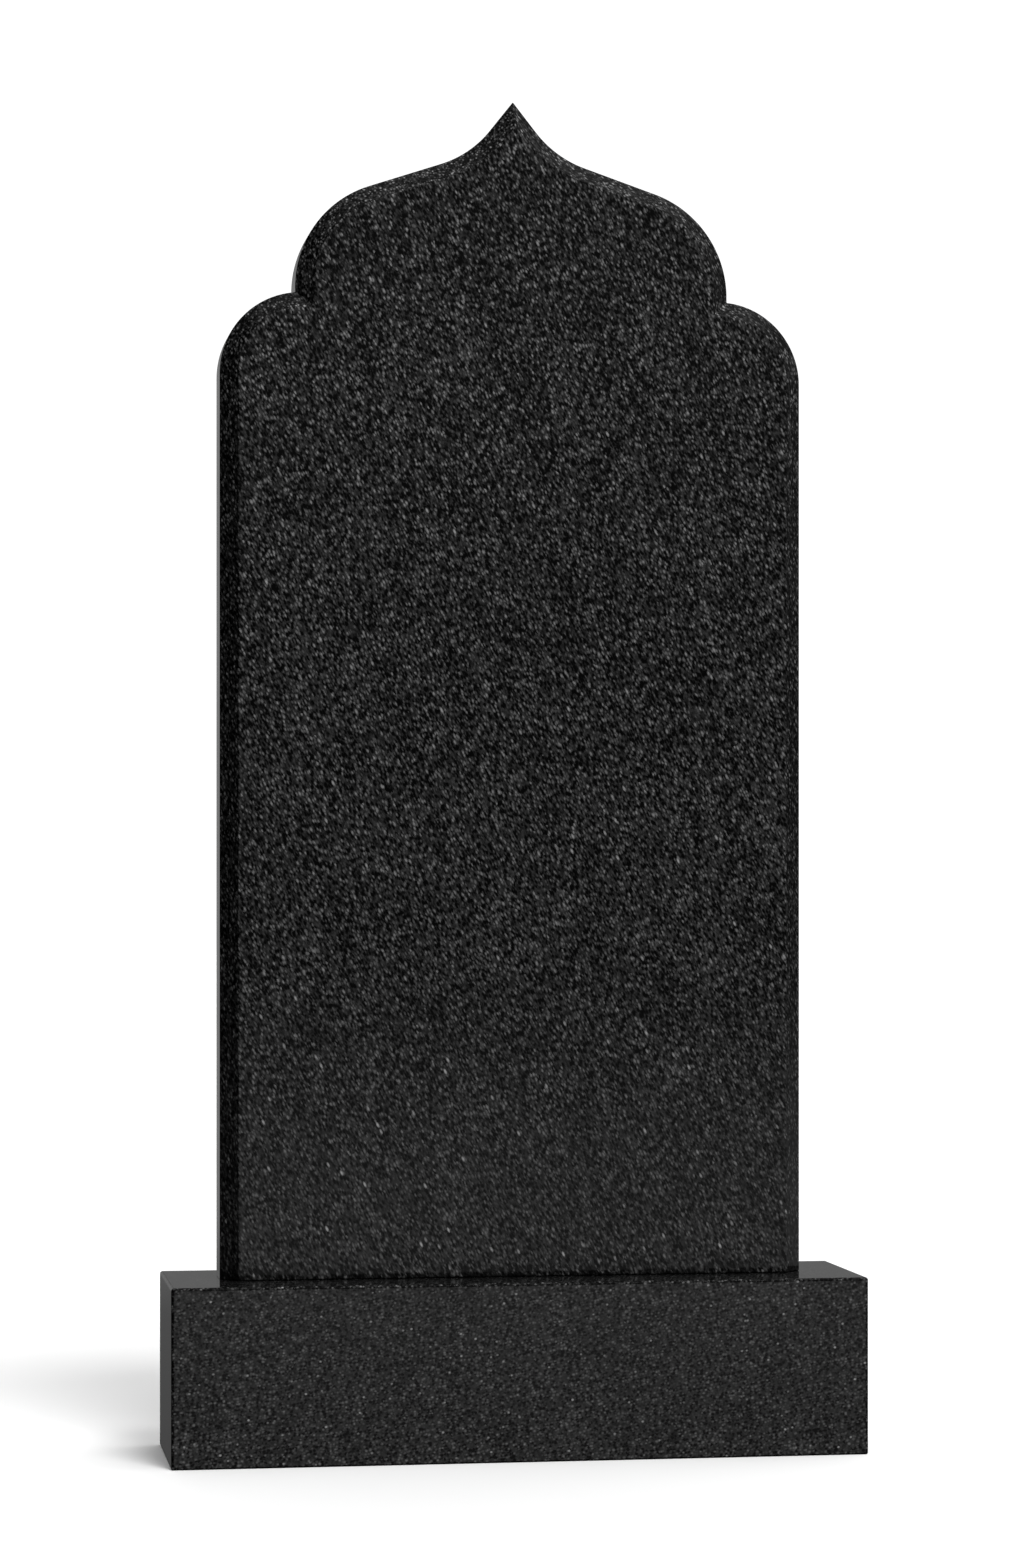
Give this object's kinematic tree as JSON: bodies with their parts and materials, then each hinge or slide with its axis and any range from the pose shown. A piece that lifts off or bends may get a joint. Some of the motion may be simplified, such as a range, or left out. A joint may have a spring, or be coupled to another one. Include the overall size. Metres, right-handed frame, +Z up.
{
  "type": "headstone",
  "caption": "Upright polished black granite headstone with round shoulders and an onion-dome head, bevelled round the front, standing on a low rectangular plinth.",
  "frame": {"origin": "centre of the plinth's underside", "axes": "+Z up, -Y towards the reader in front of the stone, +X to that reader's right"},
  "size_m": [0.59, 0.15, 1.15],
  "materials": {
    "stele_granite": "black granite, mirror polished, with a coarse flecked grain",
    "plinth_granite": "black granite, mirror polished, with a fine even grain"
  },
  "bodies": {
    "root": {"stele": "stele_granite", "plinth": "plinth_granite"}
  },
  "joints": []
}
